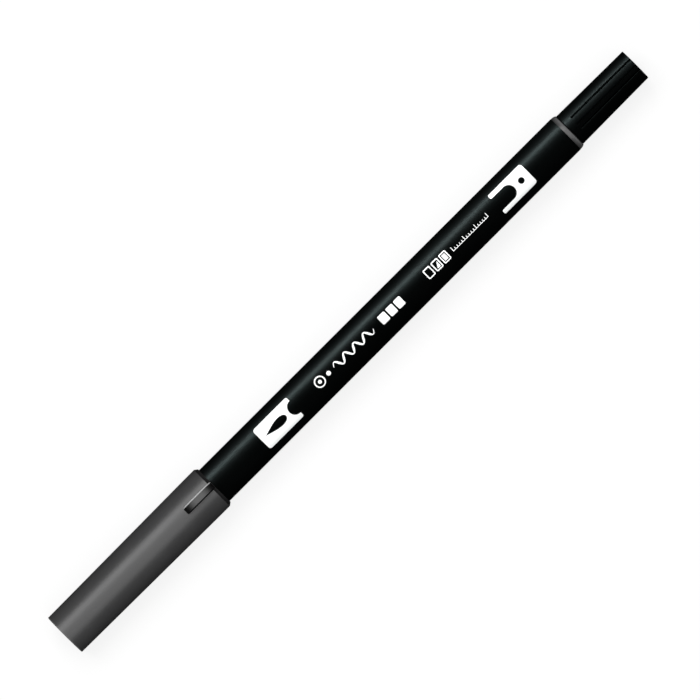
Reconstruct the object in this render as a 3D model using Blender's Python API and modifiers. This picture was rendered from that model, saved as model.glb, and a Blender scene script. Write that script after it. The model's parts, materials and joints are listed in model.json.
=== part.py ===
"""Felt-tip marker with two nibs: a brush nib under the long grey cap, a fine nib under the short
black cap, and one ink reservoir between them.

The pen lies along X with the brush end at -X and the fine end at +X. Z is up, the table is z = 0,
and the origin is under the middle of the pen. Lengths are in millimetres until MM turns them into
metres. A station is a distance along the pen from its middle.
"""

import math

import bmesh
import bpy
from mathutils import Matrix, Vector

MM = 0.001
COLLECTION = "felt_tip_marker"

# Driving dimensions
TOTAL_LENGTH = 171.5
BRUSH_CAP_LENGTH = 44.9
FINE_CAP_LENGTH = 19.75
RING_LENGTH = 1.2
CAP_RADIUS = 5.42
CAP_END_RADIUS = 5.115
BARREL_BRUSH_RADIUS = 4.63
BARREL_FINE_RADIUS = 4.54
RING_RADIUS = 4.49
FINE_CAP_RADIUS = 4.09
FINE_CAP_END_RADIUS = 3.915
BRUSH_NIB_REACH = 13.5
FINE_NIB_REACH = 1.0

# Fits between pieces
SEAT = 0.05
CLEARANCE = 0.1
BARREL_IN_CAP = 6.15

# Every turned piece has the same facets, in line with each other, so that nested pieces keep their
# clearance all round. A radius is measured to the middle of a facet.
STEPS = 24
CORNER = 1 / math.cos(math.pi / STEPS)
SHARP_ANGLE = math.radians(30)

# Stations that several pieces share
BRUSH_CAP_END = -TOTAL_LENGTH / 2
BRUSH_RIM = BRUSH_CAP_END + BRUSH_CAP_LENGTH
BRUSH_SHOULDER = BRUSH_RIM - BARREL_IN_CAP
FINE_CAP_END = TOTAL_LENGTH / 2
FINE_RIM = FINE_CAP_END - FINE_CAP_LENGTH
BARREL_FINE_END = FINE_RIM - RING_LENGTH
BRUSH_SECTION_FRONT = BRUSH_SHOULDER - 18.0
FINE_SECTION_FRONT = FINE_RIM + 11.0
FINE_SLEEVE_FRONT = FINE_RIM + 13.0
CORE_BRUSH_END = BRUSH_SHOULDER + 14.0
CORE_FINE_END = BARREL_FINE_END - 8.3
SOCKET_DEPTH = 6.0

# Radii that several pieces share
BARREL_BORE = 3.7
BARREL_FINE_BORE = 3.3
CORE_RADIUS = 3.3
FILM_BORE = CORE_RADIUS + CLEARANCE
FILM_RADIUS = 3.55
BRUSH_PLUG_RADIUS = BARREL_BORE - CLEARANCE
BRUSH_NECK_RADIUS = 3.5
LINER_BORE = BRUSH_NECK_RADIUS + CLEARANCE
LINER_RADIUS = 4.2
BRUSH_CAP_BORE = LINER_RADIUS + CLEARANCE
BRUSH_CAP_MOUTH = BARREL_BRUSH_RADIUS + CLEARANCE
FINE_CAP_MOUTH = 3.6
FINE_CAP_BORE = 3.2
BRUSH_NIB_RADIUS = 2.2
BRUSH_TAIL_RADIUS = 1.4
FINE_NIB_RADIUS = 0.7
FINE_POINT_RADIUS = 0.45
SLEEVE_RADIUS = 1.15

# A flat facet of the cap lies on the table
AXIS_HEIGHT = CAP_RADIUS

# Anti-roll fin on the brush cap
FIN_LENGTH = 8.15
FIN_WIDTH = 1.8
FIN_HEIGHT = 1.2
FIN_ROOT_RADIUS = 4.84
FIN_ROUNDNESS = 2.6
FIN_POINTS = 14

# Grip grooves in the fine cap: three groups alike, each with grooves at these turns from its top
GROOVE_GROUPS = 3
GROOVE_TURNS = (math.radians(-23.1), math.radians(-5.6), math.radians(20.6))
GROOVE_WIDTH = 0.42
GROOVE_START = FINE_RIM + 2.1
GROOVE_FLOOR_RADIUS = 3.72


def new_collection(name):
    collection = bpy.data.collections.new(name)
    bpy.context.scene.collection.children.link(collection)
    return collection


def clear_scene():
    for obj in list(bpy.data.objects):
        bpy.data.objects.remove(obj)


clear_scene()
PARTS = new_collection(COLLECTION)
CUTTERS = new_collection("cutters")


def material(name, colour, roughness, metallic=0.0):
    """A Principled BSDF material."""
    made = bpy.data.materials.new(name)
    made.use_nodes = True
    shader = made.node_tree.nodes["Principled BSDF"]
    shader.inputs["Base Color"].default_value = (*colour, 1.0)
    shader.inputs["Roughness"].default_value = roughness
    shader.inputs["Metallic"].default_value = metallic
    return made


def empty(name, parent=None):
    """An empty on the pen's axis, with its Z along the pen towards the fine end."""
    made = bpy.data.objects.new(name, None)
    PARTS.objects.link(made)
    if parent:
        made.parent = parent
    else:
        made.location = (0.0, 0.0, AXIS_HEIGHT * MM)
        made.rotation_euler = (0.0, math.pi / 2, 0.0)
    return made


PEN_AXIS = empty("pen_axis")
BRUSH_CAP_AXIS = empty("brush_cap_axis", PEN_AXIS)
FINE_CAP_AXIS = empty("fine_cap_axis", PEN_AXIS)


def evaluated_mesh(obj):
    depsgraph = bpy.context.evaluated_depsgraph_get()
    return bpy.data.meshes.new_from_object(obj.evaluated_get(depsgraph))


def turned(name, outline, mat, parent=PEN_AXIS):
    """A piece turned about the pen's axis.

    outline holds (station, radius) pairs. It runs along the outside from the +X end to the -X end.
    It then comes back along the bore, unless it starts and ends on the axis.
    """
    mesh = bpy.data.meshes.new(name)
    profile = bmesh.new()
    points = [
        profile.verts.new((radius * CORNER * MM, 0.0, station * MM)) for station, radius in outline
    ]
    for first, second in zip(points, points[1:]):
        profile.edges.new((first, second))
    if outline[0][1] > 0:
        profile.edges.new((points[-1], points[0]))
    profile.to_mesh(mesh)
    profile.free()

    obj = bpy.data.objects.new(name, mesh)
    PARTS.objects.link(obj)
    turn = obj.modifiers.new("turn", "SCREW")
    turn.angle = 2 * math.pi
    turn.steps = STEPS
    turn.render_steps = STEPS
    turn.use_merge_vertices = True
    turn.merge_threshold = 0.000001
    obj.data = evaluated_mesh(obj)
    obj.modifiers.remove(turn)
    obj.data.name = name
    obj.data.shade_smooth()
    obj.data.set_sharp_from_angle(angle=SHARP_ANGLE)
    obj.data.materials.append(mat)
    obj.parent = parent
    obj.rotation_euler.z = math.pi / STEPS
    return obj


def combine(obj, tool, operation):
    """Join a tool to a piece, or cut it out, with the tool kept as a wire guide."""
    tool.hide_render = True
    tool.display_type = "WIRE"
    step = obj.modifiers.new(tool.name, "BOOLEAN")
    step.operation = operation
    step.solver = "EXACT"
    step.object = tool


def barrel_radius(station):
    """The barrel tapers evenly from its brush end to its fine end."""
    share = (station - BRUSH_SHOULDER) / (BARREL_FINE_END - BRUSH_SHOULDER)
    return BARREL_BRUSH_RADIUS + share * (BARREL_FINE_RADIUS - BARREL_BRUSH_RADIUS)


def barrel_tube(mat):
    """The barrel is open at both ends, and its bore steps in to hold the fine section."""
    bore_step = CORE_FINE_END + 0.8
    chamfer = 0.25
    outline = [
        (BARREL_FINE_END, BARREL_FINE_RADIUS),
        (0.0, barrel_radius(0.0)),
        (BRUSH_SHOULDER + chamfer, barrel_radius(BRUSH_SHOULDER + chamfer)),
        (BRUSH_SHOULDER, BARREL_BRUSH_RADIUS - chamfer),
        (BRUSH_SHOULDER, BARREL_BORE),
        (bore_step, BARREL_BORE),
        (bore_step, BARREL_FINE_BORE),
        (BARREL_FINE_END, BARREL_FINE_BORE),
    ]
    return turned("barrel_tube", outline, mat)


def color_ring(mat):
    """A quarter-round ring between the barrel and the fine cap, trapped by the fine section's flange."""
    start = BARREL_FINE_END + SEAT
    stop = FINE_RIM - SEAT
    crown = RING_RADIUS - FINE_CAP_RADIUS
    steps = 5
    outline = []
    for i in range(steps + 1):
        angle = i * math.pi / 2 / steps
        station = stop - (stop - start) * (1 - math.cos(angle))
        outline.append((station, FINE_CAP_RADIUS + crown * math.sin(angle)))
    outline.append((start, BARREL_FINE_BORE))
    outline.append((stop, BARREL_FINE_BORE))
    return turned("color_ring", outline, mat)


def reservoir_core(mat):
    """The fibre rod that holds the ink, with a socket in each end for a nib's tail."""
    outline = [
        (CORE_FINE_END, CORE_RADIUS),
        (CORE_BRUSH_END, CORE_RADIUS),
        (CORE_BRUSH_END, BRUSH_TAIL_RADIUS + CLEARANCE),
        (CORE_BRUSH_END + SOCKET_DEPTH, BRUSH_TAIL_RADIUS + CLEARANCE),
        (CORE_BRUSH_END + SOCKET_DEPTH, 0.0),
    ]
    fine_socket = [
        (CORE_FINE_END - SOCKET_DEPTH, 0.0),
        (CORE_FINE_END - SOCKET_DEPTH, FINE_NIB_RADIUS + CLEARANCE),
        (CORE_FINE_END, FINE_NIB_RADIUS + CLEARANCE),
    ]
    return turned("reservoir_core", fine_socket + outline, mat)


def reservoir_film(mat):
    """The plastic wrap round the fibre rod, open at both ends."""
    overhang = 0.3
    outline = [
        (CORE_FINE_END + overhang, FILM_RADIUS),
        (CORE_BRUSH_END - overhang, FILM_RADIUS),
        (CORE_BRUSH_END - overhang, FILM_BORE),
        (CORE_FINE_END + overhang, FILM_BORE),
    ]
    return turned("reservoir_film", outline, mat)


def brush_section(mat):
    """The holder pressed into the brush end: plug, flange, neck and cone, with a lip at the front."""
    plug_end = BRUSH_SHOULDER + 8.0
    flange_front = BRUSH_SHOULDER - 1.25
    neck_front = BRUSH_SHOULDER - 10.0
    lip = BRUSH_SECTION_FRONT + 2.8
    holder_bore = 2.85
    lip_bore = BRUSH_NIB_RADIUS + 0.15
    outline = [
        (plug_end, BRUSH_PLUG_RADIUS - 0.3),
        (plug_end - 0.6, BRUSH_PLUG_RADIUS),
        (BRUSH_SHOULDER - SEAT, BRUSH_PLUG_RADIUS),
        (BRUSH_SHOULDER - SEAT, BARREL_BRUSH_RADIUS - 0.25),
        (flange_front, BARREL_BRUSH_RADIUS - 0.25),
        (flange_front, BRUSH_NECK_RADIUS),
        (neck_front, BRUSH_NECK_RADIUS),
        (neck_front - 0.3, BRUSH_NECK_RADIUS - 0.2),
        (BRUSH_SECTION_FRONT + 0.3, 2.85),
        (BRUSH_SECTION_FRONT, 2.65),
        (BRUSH_SECTION_FRONT, lip_bore),
        (lip, lip_bore),
        (lip, holder_bore),
        (plug_end, holder_bore),
    ]
    return turned("brush_section", outline, mat)


def brush_nib_holder(mat):
    """The sleeve inside the brush section that grips the brush nib behind its shoulder."""
    front = BRUSH_SECTION_FRONT + 2.9
    back = front + 14.0
    lip = back - 1.5
    outline = [
        (back, 2.75),
        (front, 2.75),
        (front, BRUSH_NIB_RADIUS + CLEARANCE),
        (lip, BRUSH_NIB_RADIUS + CLEARANCE),
        (lip, BRUSH_TAIL_RADIUS + CLEARANCE),
        (back, BRUSH_TAIL_RADIUS + CLEARANCE),
    ]
    return turned("brush_nib_holder", outline, mat)


def brush_nib(mat):
    """The fibre brush: a bulged taper to a point in front, and a thin tail that reaches the ink."""
    shoulder = BRUSH_SECTION_FRONT + 2.9 + 12.3
    tail_end = CORE_BRUSH_END + SOCKET_DEPTH - 0.5
    steps = 8
    outline = [
        (tail_end, 0.0),
        (tail_end, BRUSH_TAIL_RADIUS),
        (shoulder, BRUSH_TAIL_RADIUS),
        (shoulder, BRUSH_NIB_RADIUS),
    ]
    for i in range(steps):
        share = i / steps
        radius = BRUSH_NIB_RADIUS * (1 - share**2.4) ** 0.8
        outline.append((BRUSH_SECTION_FRONT - share * BRUSH_NIB_REACH, radius))
    outline.append((BRUSH_SECTION_FRONT - BRUSH_NIB_REACH, 0.0))
    return turned("brush_nib", outline, mat)


def fine_section(mat):
    """The holder pressed into the fine end, with a flange that traps the ring and a cone in front."""
    plug_end = BARREL_FINE_END - 7.3
    plug_radius = BARREL_FINE_BORE - CLEARANCE
    flange_back = FINE_RIM
    flange_front = FINE_RIM + 0.7
    neck_front = FINE_RIM + 6.8
    outline = [
        (FINE_SECTION_FRONT, 1.6),
        (FINE_SECTION_FRONT - 0.3, 1.85),
        (neck_front, 2.9),
        (neck_front - 0.3, 3.1),
        (flange_front, 3.1),
        (flange_front, FINE_CAP_MOUTH - CLEARANCE),
        (flange_back, FINE_CAP_MOUTH - CLEARANCE),
        (flange_back, plug_radius),
        (plug_end + 0.6, plug_radius),
        (plug_end, plug_radius - 0.3),
        (plug_end, SLEEVE_RADIUS + CLEARANCE),
        (FINE_SECTION_FRONT, SLEEVE_RADIUS + CLEARANCE),
    ]
    return turned("fine_section", outline, mat)


def fine_nib_sleeve(mat):
    """The slim tube that holds the fine nib and stands out of the fine section's cone."""
    back = FINE_RIM + 2.0
    cone = FINE_SLEEVE_FRONT - 1.8
    outline = [
        (FINE_SLEEVE_FRONT, 0.68),
        (cone, SLEEVE_RADIUS),
        (back, SLEEVE_RADIUS),
        (back, FINE_NIB_RADIUS + CLEARANCE),
        (FINE_SLEEVE_FRONT - 0.6, FINE_NIB_RADIUS + CLEARANCE),
        (FINE_SLEEVE_FRONT - 0.6, FINE_POINT_RADIUS + 0.08),
        (FINE_SLEEVE_FRONT, FINE_POINT_RADIUS + 0.08),
    ]
    return turned("fine_nib_sleeve", outline, mat)


def fine_nib(mat):
    """The fine fibre rod, necked down where it passes the sleeve's mouth and domed at its tip."""
    tail_end = CORE_FINE_END - SOCKET_DEPTH + 0.5
    neck = FINE_SLEEVE_FRONT - 0.75
    tip = FINE_SLEEVE_FRONT + FINE_NIB_REACH
    outline = [(tip, 0.0)]
    for angle in (30, 60, 90):
        rise = math.radians(angle)
        station = tip - FINE_POINT_RADIUS * (1 - math.cos(rise))
        outline.append((station, FINE_POINT_RADIUS * math.sin(rise)))
    outline += [
        (neck, FINE_POINT_RADIUS),
        (neck - 0.3, FINE_NIB_RADIUS),
        (tail_end, FINE_NIB_RADIUS),
        (tail_end, 0.0),
    ]
    return turned("fine_nib", outline, mat)


def anti_roll_fin():
    """The fin's arched side outline, as thick as the fin is wide, from the rim back along the cap."""
    outline = bpy.data.curves.new("anti_roll_fin", "CURVE")
    outline.dimensions = "2D"
    outline.fill_mode = "BOTH"
    outline.extrude = FIN_WIDTH / 2 * MM
    front = BRUSH_RIM - 0.05
    middle = front - FIN_LENGTH / 2
    rise = CAP_RADIUS + FIN_HEIGHT - FIN_ROOT_RADIUS
    points = []
    for i in range(FIN_POINTS + 1):
        angle = i * math.pi / FIN_POINTS
        along = math.copysign(abs(math.cos(angle)) ** (2 / FIN_ROUNDNESS), math.cos(angle))
        up = math.sin(angle) ** (2 / FIN_ROUNDNESS)
        points.append((middle + along * FIN_LENGTH / 2, FIN_ROOT_RADIUS + rise * up))
    spline = outline.splines.new("POLY")
    spline.points.add(len(points) - 1)
    for point, (station, height) in zip(spline.points, points):
        point.co = (station * MM, height * MM, 0.0, 1.0)
    spline.use_cyclic_u = True

    drawn = bpy.data.objects.new("anti_roll_fin_outline", outline)
    CUTTERS.objects.link(drawn)
    drawn.location = (0.0, 0.0, AXIS_HEIGHT * MM)
    drawn.rotation_euler = (math.pi / 2, 0.0, 0.0)
    bpy.context.view_layer.update()
    mesh = evaluated_mesh(drawn)
    solid = bmesh.new()
    solid.from_mesh(mesh)
    bmesh.ops.remove_doubles(solid, verts=solid.verts, dist=0.000001)
    solid.to_mesh(mesh)
    solid.free()
    fin = bpy.data.objects.new("anti_roll_fin", mesh)
    fin.matrix_world = drawn.matrix_world
    CUTTERS.objects.link(fin)
    bpy.data.objects.remove(drawn)
    return fin


def brush_cap_shell(mat):
    """The long cap: a wide mouth that slides over the barrel, a narrower bore for the liner, a fin."""
    end_round = 0.15
    chamfer_length = 0.74
    full_radius_end = BRUSH_CAP_END + 40.75
    mouth_end = BRUSH_SHOULDER - 1.4
    outline = [
        (BRUSH_RIM, 4.9),
        (BRUSH_RIM - chamfer_length, CAP_RADIUS),
        (full_radius_end, CAP_RADIUS),
        (BRUSH_CAP_END + end_round, CAP_END_RADIUS),
        (BRUSH_CAP_END, CAP_END_RADIUS - end_round),
        (BRUSH_CAP_END, 0.0),
    ]
    hollow = [
        (BRUSH_CAP_END + 1.0, 0.0),
        (BRUSH_CAP_END + 1.0, BRUSH_CAP_BORE),
        (mouth_end, BRUSH_CAP_BORE),
        (mouth_end, BRUSH_CAP_MOUTH),
        (BRUSH_RIM, BRUSH_CAP_MOUTH),
    ]
    shell = turned("brush_cap_shell", hollow + outline, mat, BRUSH_CAP_AXIS)
    combine(shell, anti_roll_fin(), "UNION")
    return shell


def brush_cap_liner(mat):
    """The inner cup that closes on the brush section's neck, so that the nib stays wet."""
    mouth = BRUSH_SHOULDER - 4.0
    end = BRUSH_CAP_END + 1.1
    wall = LINER_RADIUS - LINER_BORE
    outline = [
        (end + wall, 0.0),
        (end + wall, LINER_BORE),
        (mouth, LINER_BORE),
        (mouth, LINER_RADIUS),
        (end, LINER_RADIUS),
        (end, 0.0),
    ]
    return turned("brush_cap_liner", outline, mat, BRUSH_CAP_AXIS)


def grip_grooves():
    """Long square-cut tools that run out through the fine cap's end."""
    depth = FINE_CAP_RADIUS - GROOVE_FLOOR_RADIUS + 0.6
    length = FINE_CAP_END - GROOVE_START + 1.0
    centre = (GROOVE_START + length / 2, 0.0, GROOVE_FLOOR_RADIUS + depth / 2)
    tools = bmesh.new()
    for group in range(GROOVE_GROUPS):
        for groove_turn in GROOVE_TURNS:
            turn = groove_turn + group * 2 * math.pi / GROOVE_GROUPS
            bar = bmesh.ops.create_cube(tools, size=MM)["verts"]
            bmesh.ops.scale(tools, vec=(length, GROOVE_WIDTH, depth), verts=bar)
            bmesh.ops.translate(tools, vec=Vector(centre) * MM, verts=bar)
            # a turn from the top towards +Y
            about_pen = Matrix.Rotation(-turn, 3, "X")
            bmesh.ops.rotate(tools, matrix=about_pen, verts=bar)
    mesh = bpy.data.meshes.new("grip_grooves")
    tools.to_mesh(mesh)
    tools.free()
    grooves = bpy.data.objects.new("grip_grooves", mesh)
    grooves.location = (0.0, 0.0, AXIS_HEIGHT * MM)
    CUTTERS.objects.link(grooves)
    return grooves


def fine_cap_shell(mat):
    """The short cap: one moulding with a wide mouth over the flange and long grip grooves outside."""
    mouth_end = FINE_RIM + 4.8
    rim = FINE_RIM + SEAT
    outline = [
        (FINE_CAP_END, 0.0),
        (FINE_CAP_END, FINE_CAP_END_RADIUS),
        (rim, FINE_CAP_RADIUS),
        (rim, FINE_CAP_MOUTH),
        (mouth_end, FINE_CAP_MOUTH),
        (mouth_end + 0.3, FINE_CAP_BORE),
        (FINE_CAP_END - 1.0, FINE_CAP_BORE),
        (FINE_CAP_END - 1.0, 0.0),
    ]
    shell = turned("fine_cap_shell", outline, mat, FINE_CAP_AXIS)
    combine(shell, grip_grooves(), "DIFFERENCE")
    return shell


def build():
    black = material("black_plastic", (0.008, 0.010, 0.010), 0.38)
    grey = material("grey_plastic", (0.105, 0.105, 0.107), 0.40)
    natural = material("natural_plastic", (0.78, 0.79, 0.77), 0.45)
    clear = material("film_plastic", (0.85, 0.86, 0.86), 0.20)
    felt = material("inked_fibre", (0.060, 0.062, 0.068), 0.95)
    wadding = material("reservoir_fibre", (0.120, 0.122, 0.130), 1.0)

    barrel_tube(black)
    brush_section(black)
    brush_nib_holder(natural)
    brush_nib(felt)
    reservoir_core(wadding)
    reservoir_film(clear)
    fine_section(black)
    fine_nib_sleeve(natural)
    fine_nib(felt)
    color_ring(grey)
    brush_cap_shell(grey)
    brush_cap_liner(natural)
    fine_cap_shell(black)


build()
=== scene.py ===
import json
import math

import bmesh
import bpy
from mathutils import Matrix, Vector
from mathutils.kdtree import KDTree

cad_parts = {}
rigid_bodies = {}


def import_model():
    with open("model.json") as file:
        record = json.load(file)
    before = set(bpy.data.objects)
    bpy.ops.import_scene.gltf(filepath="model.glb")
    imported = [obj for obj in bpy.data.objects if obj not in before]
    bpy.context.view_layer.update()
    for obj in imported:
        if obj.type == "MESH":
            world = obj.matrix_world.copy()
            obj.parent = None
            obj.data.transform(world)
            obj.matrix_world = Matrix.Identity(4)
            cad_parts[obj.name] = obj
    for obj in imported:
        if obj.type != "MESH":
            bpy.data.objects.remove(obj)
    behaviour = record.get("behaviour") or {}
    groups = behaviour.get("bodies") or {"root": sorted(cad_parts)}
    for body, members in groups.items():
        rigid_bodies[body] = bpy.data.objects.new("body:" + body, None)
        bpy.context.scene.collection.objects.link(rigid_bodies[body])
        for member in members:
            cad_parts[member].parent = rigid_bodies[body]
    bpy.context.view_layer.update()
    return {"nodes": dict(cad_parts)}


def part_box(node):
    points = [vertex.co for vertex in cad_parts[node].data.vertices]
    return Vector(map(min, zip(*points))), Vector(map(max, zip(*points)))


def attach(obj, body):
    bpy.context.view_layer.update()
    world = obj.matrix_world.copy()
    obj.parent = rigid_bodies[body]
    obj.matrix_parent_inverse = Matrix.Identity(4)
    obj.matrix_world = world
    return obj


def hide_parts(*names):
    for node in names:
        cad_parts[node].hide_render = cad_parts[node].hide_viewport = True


# The looks of a double-ended felt-tip marker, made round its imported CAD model.
#
# Lengths are in millimetres until MM turns them into metres. A station is a distance along the pen
# from its middle, +X towards the fine end. A turn is an angle round the pen, in radians, from the
# top (+Z) towards +Y.

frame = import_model()

MM = 0.001
STEPS = 192
SHARP_ANGLE = math.radians(32)


def span(node):
    """The stations of a CAD node's two ends."""
    low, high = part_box(node)
    return low.x / MM, high.x / MM


def reach(node):
    """A turned CAD node's largest radius."""
    low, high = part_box(node)
    return (high.y - low.y) / 2 / MM


# Places and radii that come from the CAD model
BARREL_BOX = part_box("barrel_tube")
AXIS_HEIGHT = (BARREL_BOX[0].z + BARREL_BOX[1].z) / 2 / MM
BRUSH_CAP_END, BRUSH_RIM = span("brush_cap_shell")
BARREL_START, BARREL_STOP = span("barrel_tube")
FINE_RIM, FINE_CAP_END = span("fine_cap_shell")
SECTION_FRONT, SECTION_BACK = span("brush_section")
NIB_TIP, NIB_TAIL = span("brush_nib")
LINER_END, LINER_MOUTH = span("brush_cap_liner")
FINE_SECTION_BACK, FINE_SECTION_FRONT = span("fine_section")
SLEEVE_BACK, SLEEVE_FRONT = span("fine_nib_sleeve")
FINE_NIB_TAIL, FINE_NIB_TIP = span("fine_nib")

CAP_RADIUS = reach("brush_cap_shell")
BARREL_RADIUS = reach("barrel_tube")
RING_RADIUS = reach("color_ring")
FINE_CAP_RADIUS = reach("fine_cap_shell")
LINER_RADIUS = reach("brush_cap_liner")
NIB_RADIUS = reach("brush_nib")
SLEEVE_RADIUS = reach("fine_nib_sleeve")
FINE_NIB_RADIUS = reach("fine_nib")
FIN_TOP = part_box("brush_cap_shell")[1].z / MM - AXIS_HEIGHT
BARREL_FINE_RADIUS = RING_RADIUS + 0.05
FINE_CAP_END_RADIUS = FINE_CAP_RADIUS - 0.175

# Bores and walls
BARREL_BORE = 3.7
BARREL_FINE_BORE = 3.3
CAP_BORE = LINER_RADIUS + 0.1
CAP_MOUTH = BARREL_RADIUS + 0.1
CAP_END_RADIUS = CAP_RADIUS - 0.305
LINER_BORE = 3.6
NECK_RADIUS = 3.5
FINE_CAP_MOUTH = 3.6
FINE_CAP_BORE = 3.2

# Anti-roll fin
FIN_LENGTH = 8.15
FIN_ROOT = 4.84
FIN_ROUNDNESS = 2.8
FIN_WALL = 0.4
# Across the fin: (place across, depth below the crown, painted highlight, painted shade); the
# highlight runs along the +Y edge
FIN_PROFILE = (
    (-0.90, 1.10, 0.0, 0.1), (-0.90, 0.42, 0.0, 0.1), (-0.90, 0.36, 0.0, 0.8),
    (-0.89, 0.32, 0.0, 0.9), (-0.68, 0.015, 0.0, 0.9), (-0.66, 0.0, 0.0, 0.5),
    (-0.62, 0.0, 0.0, 0.12), (0.62, 0.0, 0.0, 0.12), (0.66, 0.0, 0.0, 0.12),
    (0.67, 0.004, 1.0, 0.0), (0.88, 0.13, 1.0, 0.0), (0.90, 0.16, 1.0, 0.0),
    (0.90, 0.24, 0.0, 0.3), (0.90, 0.42, 0.0, 0.1), (0.90, 1.10, 0.0, 0.1),
)
# The painted shade towards the fin's ends, in shares of half its length
FIN_SHADE_START = 0.12
FIN_SHADE_LENGTH = 0.52

# Grip grooves in the fine cap. Each is a V whose bottom lies off its middle.
GROOVE_GROUPS = 3
GROOVE_START = FINE_RIM + 1.85
GROOVE_RUN_IN = 0.2
GROOVE_DEPTH = 0.36
GROOVE_TURNS = (math.radians(-23.8), math.radians(-5.6), math.radians(20.6))
GROOVE_HALF = 0.27
GROOVE_BOTTOM = -0.095

# Printed marks
PRINT_TURN = math.radians(-7.3)
PRINT_THICKNESS = 0.024
# The ink is cut into strips this wide, so that it can bend round the barrel
PRINT_STRIP = 0.3
# Points of the ink that lie closer than this are joined
PRINT_WELD = 0.0005

# How worn a rounded corner is, how much colour a face keeps under painted shade, and how far the
# roughness of the plastic wanders to either side
EDGE_WEAR = 0.12
SHADE_TONE = 0.06
SATIN_SPREAD = 0.022

# Shallow flutes in the brush nib, and strands in the fine one
NIB_FLUTES = 32
NIB_FLUTE_DEPTH = 0.018
NIB_BUNDLES = 7
FINE_NIB_STRANDS = 10
FINE_NIB_STRAND_DEPTH = 0.006


def clamp(value):
    return min(max(value, 0.0), 1.0)


def smooth(value):
    value = clamp(value)
    return value * value * (3 - 2 * value)


def barrel_radius(station):
    """The barrel tapers evenly from its brush end to the ring."""
    share = (station - BARREL_START) / (BARREL_STOP - BARREL_START)
    return BARREL_RADIUS + share * (BARREL_FINE_RADIUS - BARREL_RADIUS)


def on_pen(station, radius, turn):
    """A point round the pen's axis, in metres."""
    return Vector(
        (station, radius * math.sin(turn), AXIS_HEIGHT + radius * math.cos(turn))
    ) * MM


# Materials


class Nodes:
    """Short calls for building a material's node tree."""

    def __init__(self, name):
        self.material = bpy.data.materials.new(name)
        self.material.use_nodes = True
        self.tree = self.material.node_tree
        self.shader = self.tree.nodes["Principled BSDF"]
        self.place = self.tree.nodes.new("ShaderNodeTexCoord").outputs["Object"]

    def link(self, source, target):
        self.tree.links.new(source, target)

    def set(self, **values):
        for name, value in values.items():
            self.shader.inputs[name.replace("_", " ")].default_value = value

    def stretched(self, scale):
        node = self.tree.nodes.new("ShaderNodeMapping")
        node.inputs["Scale"].default_value = scale
        self.link(self.place, node.inputs["Vector"])
        return node.outputs["Vector"]

    def noise(self, scale, detail=3.0, place=None, roughness=0.55):
        node = self.tree.nodes.new("ShaderNodeTexNoise")
        node.inputs["Scale"].default_value = scale
        node.inputs["Detail"].default_value = detail
        node.inputs["Roughness"].default_value = roughness
        self.link(place or self.place, node.inputs["Vector"])
        return node.outputs["Fac"]

    def ramp(self, value, low, high, from_low=0.0, from_high=1.0):
        node = self.tree.nodes.new("ShaderNodeMapRange")
        node.inputs["From Min"].default_value = from_low
        node.inputs["From Max"].default_value = from_high
        node.inputs["To Min"].default_value = low
        node.inputs["To Max"].default_value = high
        self.link(value, node.inputs["Value"])
        return node.outputs["Result"]

    def calc(self, operation, first, second):
        node = self.tree.nodes.new("ShaderNodeMath")
        node.operation = operation
        for socket, value in zip(node.inputs, (first, second)):
            if isinstance(value, (int, float)):
                socket.default_value = value
            else:
                self.link(value, socket)
        return node.outputs["Value"]

    def mix(self, factor, first, second):
        """Mixes two colours, each of them a tuple or a socket."""
        node = self.tree.nodes.new("ShaderNodeMix")
        node.data_type = "RGBA"
        self.link(factor, node.inputs["Factor"])
        for name, value in (("A", first), ("B", second)):
            socket = [s for s in node.inputs if s.name == name and s.type == "RGBA"][0]
            if isinstance(value, tuple):
                socket.default_value = (*value, 1.0)
            else:
                self.link(value, socket)
        return [s for s in node.outputs if s.type == "RGBA"][0]

    def painted(self, name):
        """A value that the mesh carries: edge wear together with painted highlights, or painted
        shade.
        """
        node = self.tree.nodes.new("ShaderNodeAttribute")
        node.attribute_name = name
        return node.outputs["Fac"]

    def colour(self, source):
        self.link(source, self.shader.inputs["Base Color"])

    def rough(self, source):
        self.link(source, self.shader.inputs["Roughness"])

    def bump(self, height, distance, strength=1.0, under=None):
        node = self.tree.nodes.new("ShaderNodeBump")
        node.inputs["Strength"].default_value = strength
        node.inputs["Distance"].default_value = distance
        self.link(height, node.inputs["Height"])
        if under is not None:
            self.link(under, node.inputs["Normal"])
        self.link(node.outputs["Normal"], self.shader.inputs["Normal"])
        return node.outputs["Normal"]


def scaled(colour, share):
    return tuple(min(part * share, 1.0) for part in colour)


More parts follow.
